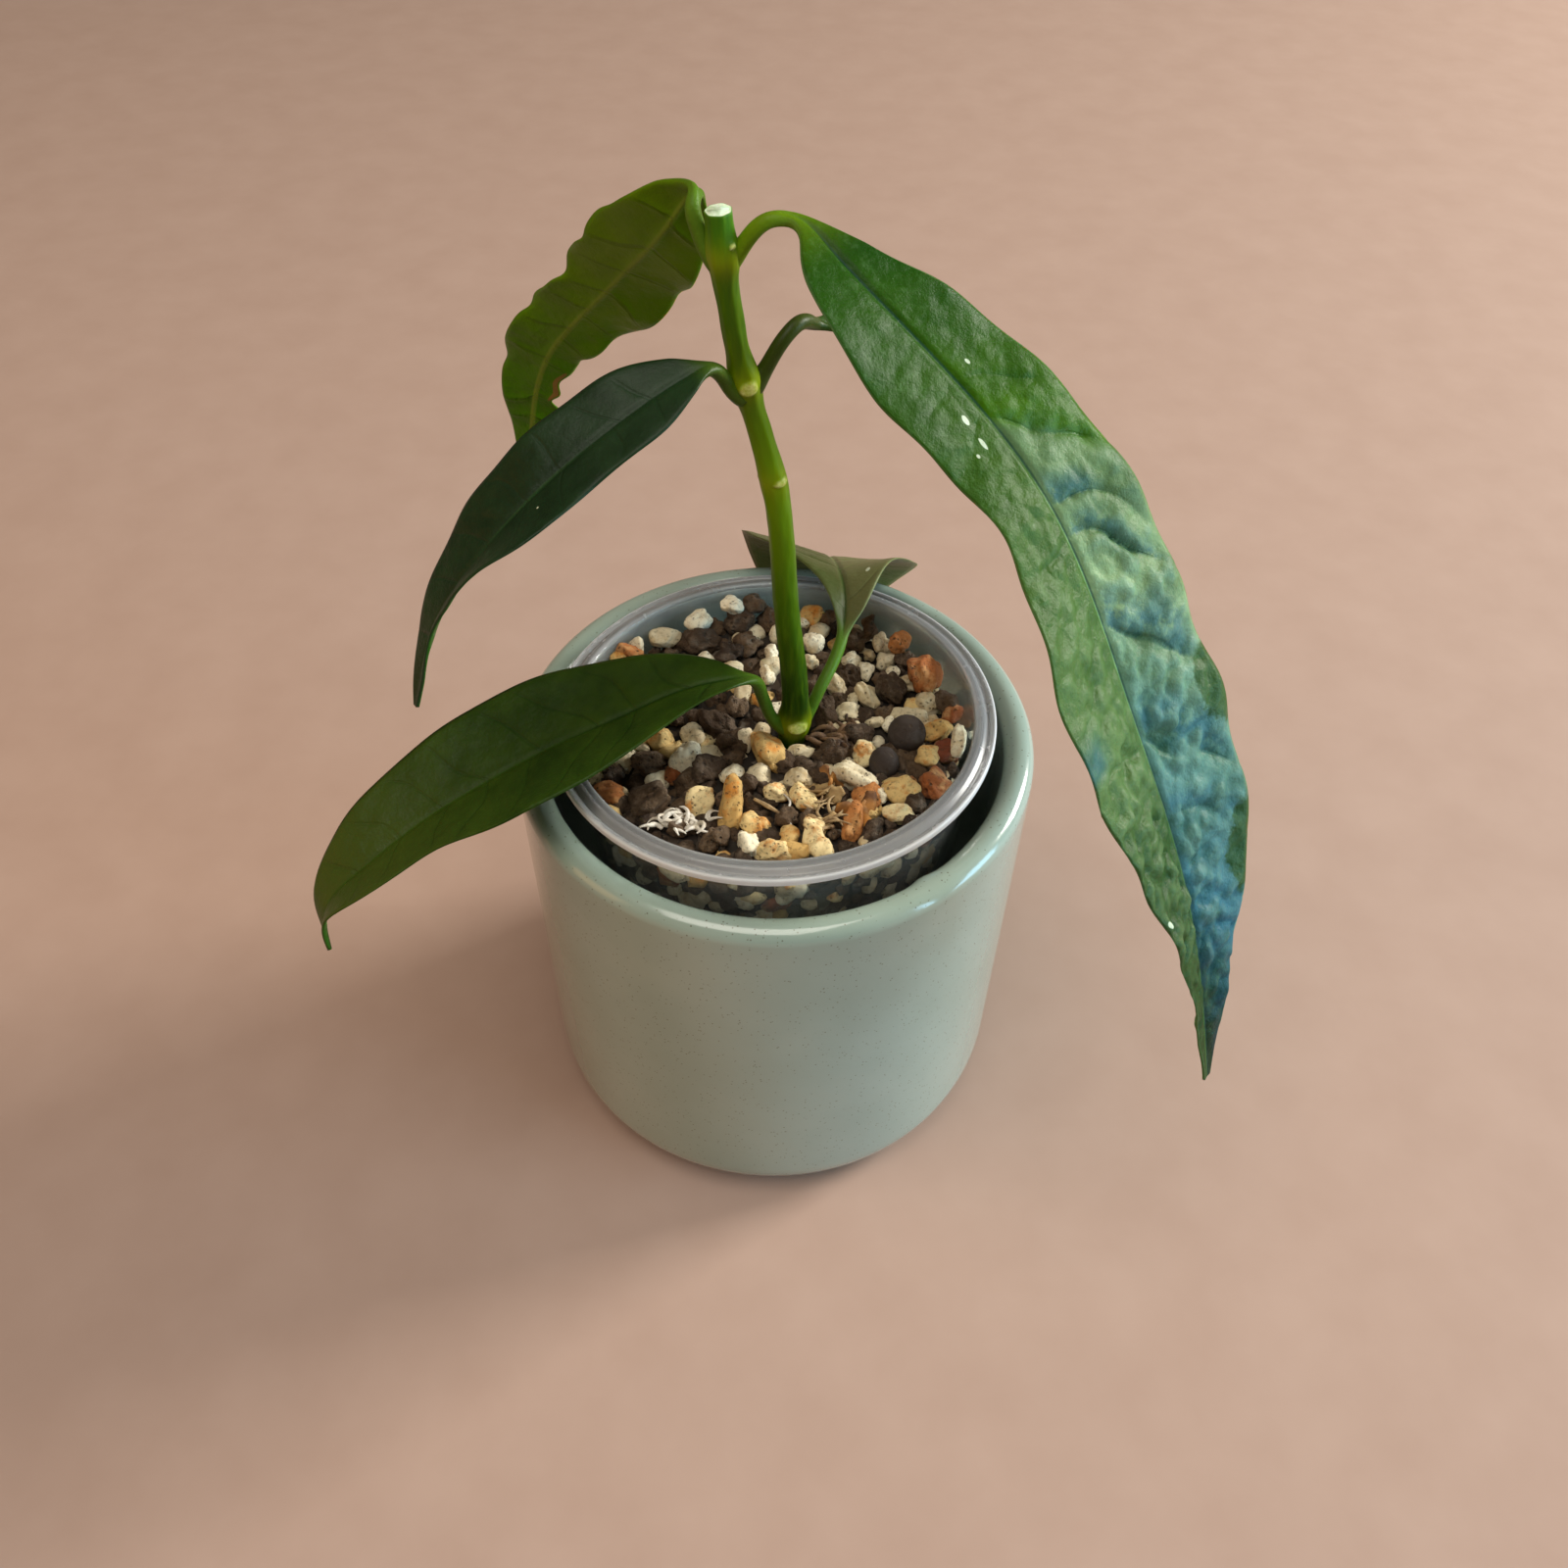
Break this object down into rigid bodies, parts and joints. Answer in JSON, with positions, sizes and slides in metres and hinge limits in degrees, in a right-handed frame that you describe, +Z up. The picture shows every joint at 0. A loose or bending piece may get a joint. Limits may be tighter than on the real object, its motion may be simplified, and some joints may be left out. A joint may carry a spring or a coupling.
{
  "type": "potted hoya",
  "caption": "Young hoya with long drooping leaves, rooted in a chunky grain mix in a clear inner pot, standing in a round glazed cover pot.",
  "frame": {"origin": "centre of the cover pot's flat underside, on the surface it stands on", "axes": "+Z up along the pot's axis; +X to the right and +Y away from a viewer at the picture's side"},
  "size_m": [0.1378, 0.1071, 0.1718],
  "materials": {
    "celadon_glaze": "glossy speckled glaze",
    "clear_plastic": "clear, glossy",
    "grain_mix": "rough, dry grains",
    "stem_green": "smooth living green",
    "leaf_green": "waxy satin"
  },
  "bodies": {
    "root": {"cover_pot": "celadon_glaze", "nursery_cup": "clear_plastic", "substrate": "grain_mix", "stem": "stem_green", "leaf_top_right": "leaf_green", "leaf_top_left": "leaf_green", "leaf_mid_left": "leaf_green", "leaf_mid_right": "leaf_green", "leaf_base_left": "leaf_green", "leaf_base_right": "leaf_green"}
  },
  "joints": []
}
